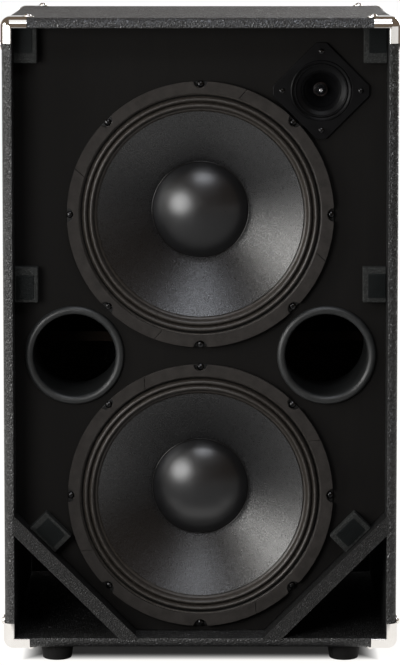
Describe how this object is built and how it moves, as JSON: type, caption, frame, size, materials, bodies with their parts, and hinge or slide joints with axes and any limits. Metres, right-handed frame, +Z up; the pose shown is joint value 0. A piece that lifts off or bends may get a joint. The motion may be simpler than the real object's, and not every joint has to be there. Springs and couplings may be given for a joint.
{
  "type": "bass speaker cabinet",
  "caption": "Upright vented bass cabinet: woofers above each other, small horn tweeter, round ports between them, triangular ports in the lower corners, metal corners, rubber feet.",
  "frame": {"origin": "on the floor under the middle of the cabinet", "axes": "+Z up; -Y out of the front, where the drivers look; +X to the right seen from the front"},
  "size_m": [0.4656, 0.383, 0.7616],
  "materials": {
    "textured_vinyl_plywood": "black textured vinyl over plywood",
    "black_painted_plywood": "matt black paint on plywood",
    "bare_birch_plywood": "bare sanded plywood",
    "nickel_plated_steel": "bright nickel plate on pressed steel",
    "black_rubber": "matt black moulded rubber",
    "black_painted_steel": "satin black paint on pressed steel",
    "gasket_fibre": "grey fibre board",
    "doped_cloth": "black cloth with a glossy damping coat",
    "cone_paper": "black pressed paper pulp",
    "copper_winding": "enamelled copper wire on a thin former",
    "spider_cloth": "amber resin-treated cloth",
    "zinc_plated_steel": "zinc plated steel",
    "ferrite_magnet": "dark grey ferrite",
    "black_plastic": "moulded black plastic, lightly textured",
    "bare_aluminium": "bare satin aluminium",
    "circuit_board": "green glass-fibre board with its components"
  },
  "bodies": {
    "cabinet": {"side_panel_left": "textured_vinyl_plywood", "side_panel_right": "textured_vinyl_plywood", "top_panel": "textured_vinyl_plywood", "bottom_panel": "textured_vinyl_plywood", "rear_panel": "textured_vinyl_plywood", "corner_port_panel_left": "textured_vinyl_plywood", "corner_port_panel_right": "textured_vinyl_plywood", "front_baffle": "black_painted_plywood", "cross_brace": "bare_birch_plywood", "grille_block_top_left": "textured_vinyl_plywood", "grille_block_top_right": "textured_vinyl_plywood", "grille_block_middle_left": "textured_vinyl_plywood", "grille_block_middle_right": "textured_vinyl_plywood", "grille_block_low_left": "textured_vinyl_plywood", "grille_block_low_right": "textured_vinyl_plywood", "corner_front_top_left": "nickel_plated_steel", "corner_front_top_right": "nickel_plated_steel", "corner_front_bottom_left": "nickel_plated_steel", "corner_front_bottom_right": "nickel_plated_steel", "foot_front_left": "black_rubber", "foot_front_right": "black_rubber", "corner_rear_top_left": "nickel_plated_steel", "corner_rear_top_right": "nickel_plated_steel", "corner_rear_bottom_left": "nickel_plated_steel", "corner_rear_bottom_right": "nickel_plated_steel", "foot_rear_left": "black_rubber", "foot_rear_right": "black_rubber", "port_tube_left": "black_plastic", "speaker_socket_left": "black_plastic", "side_handle_left": "black_plastic", "port_tube_right": "black_plastic", "speaker_socket_right": "black_plastic", "side_handle_right": "black_plastic", "woofer_upper_basket": "black_painted_steel", "woofer_upper_gasket": "gasket_fibre", "woofer_upper_surround": "doped_cloth", "woofer_upper_spider": "spider_cloth", "woofer_upper_top_plate": "zinc_plated_steel", "woofer_upper_magnet": "ferrite_magnet", "woofer_upper_yoke": "zinc_plated_steel", "woofer_lower_basket": "black_painted_steel", "woofer_lower_gasket": "gasket_fibre", "woofer_lower_surround": "doped_cloth", "woofer_lower_spider": "spider_cloth", "woofer_lower_top_plate": "zinc_plated_steel", "woofer_lower_magnet": "ferrite_magnet", "woofer_lower_yoke": "zinc_plated_steel", "tweeter_horn": "black_plastic", "tweeter_motor": "black_painted_steel", "tweeter_phase_plug": "bare_aluminium", "connector_dish": "black_plastic", "crossover_board": "circuit_board"},
    "woofer_upper_moving": {"woofer_upper_cone": "cone_paper", "woofer_upper_dust_cap": "cone_paper", "woofer_upper_voice_coil": "copper_winding"},
    "woofer_lower_moving": {"woofer_lower_cone": "cone_paper", "woofer_lower_dust_cap": "cone_paper", "woofer_lower_voice_coil": "copper_winding"},
    "tweeter_moving": {"tweeter_diaphragm": "bare_aluminium"},
    "level_control": {"level_knob": "black_plastic"}
  },
  "joints": [
    {"name": "woofer_upper_travel", "type": "slide", "parent": "cabinet", "child": "woofer_upper_moving", "axis": [0, -1, 0], "range_m": [-0.006, 0.006], "stiffness_N_per_m": 4000, "deforming": ["woofer_upper_surround", "woofer_upper_spider"]},
    {"name": "woofer_lower_travel", "type": "slide", "parent": "cabinet", "child": "woofer_lower_moving", "axis": [0, -1, 0], "range_m": [-0.006, 0.006], "stiffness_N_per_m": 4000, "deforming": ["woofer_lower_surround", "woofer_lower_spider"]},
    {"name": "tweeter_travel", "type": "slide", "parent": "cabinet", "child": "tweeter_moving", "axis": [0, -1, 0], "range_m": [-0.0003, 0.0003], "stiffness_N_per_m": 150},
    {"name": "level_knob_turn", "type": "hinge", "parent": "cabinet", "child": "level_control", "pos_m": [-0.034, 0.1523, 0.47162], "axis": [0, 1, 0], "range_deg": [-150, 150]}
  ]
}
